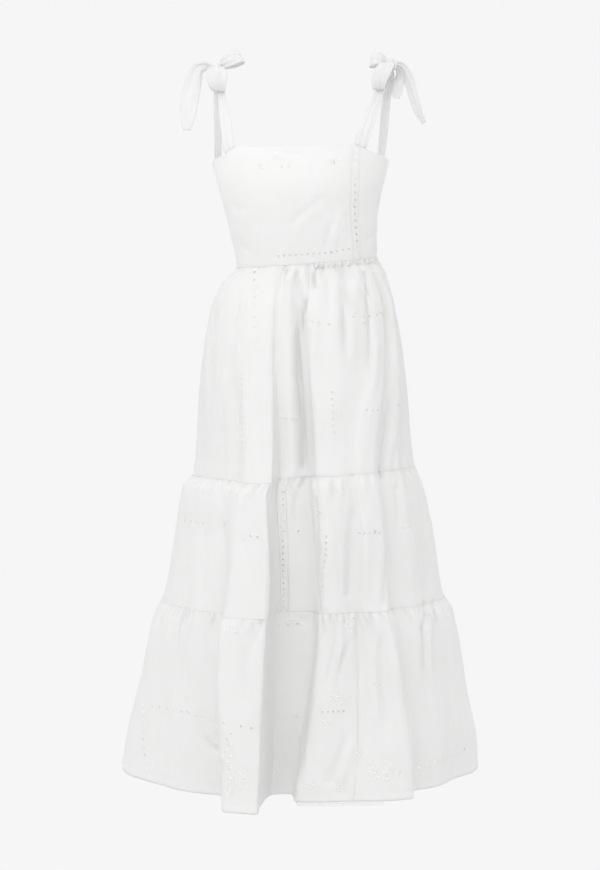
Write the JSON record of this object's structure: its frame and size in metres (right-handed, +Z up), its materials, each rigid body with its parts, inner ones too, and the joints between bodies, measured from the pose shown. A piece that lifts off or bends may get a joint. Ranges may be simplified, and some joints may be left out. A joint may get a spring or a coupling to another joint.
{
  "type": "tiered maxi dress",
  "caption": "White cotton eyelet maxi dress with square neck, fitted bodice, gathered tiers and tie straps, filled out and hollow.",
  "frame": {"origin": "midway between the shoulders, level with the tops of the straps under their bows, where the wearer holds the dress up", "axes": "+Z up, the front of the dress faces -Y, +X to the right as seen from the front"},
  "size_m": [0.6807, 0.6358, 1.3715],
  "materials": {
    "cotton": "matt white cotton broderie with raised white embroidery",
    "eyelet_band": "white cotton eyelet band, embroidered round its holes",
    "strap_cotton": "the same white cotton, folded double"
  },
  "bodies": {
    "root": {"bodice_front": "cotton", "bodice_insertion": "eyelet_band", "bodice_front_side": "cotton", "bodice_back": "cotton", "waist_edging": "eyelet_band", "tier1_front": "cotton", "tier1_back": "cotton", "tier2_front_left": "cotton", "tier2_insertion": "eyelet_band", "tier2_front_right": "cotton", "tier2_back": "cotton", "tier3_front_left": "cotton", "tier3_front_right": "cotton", "tier3_back": "cotton", "hem_edging": "eyelet_band", "strap_front_left": "strap_cotton", "strap_front_right": "strap_cotton", "strap_back_left": "strap_cotton", "strap_back_right": "strap_cotton", "bow_left_knot": "strap_cotton", "bow_left_loop_top": "strap_cotton", "bow_left_loop_low": "strap_cotton", "bow_left_tail": "strap_cotton", "bow_right_knot": "strap_cotton", "bow_right_loop_top": "strap_cotton", "bow_right_loop_low": "strap_cotton", "bow_right_tail_long": "strap_cotton", "bow_right_tail_short": "strap_cotton"}
  },
  "joints": []
}
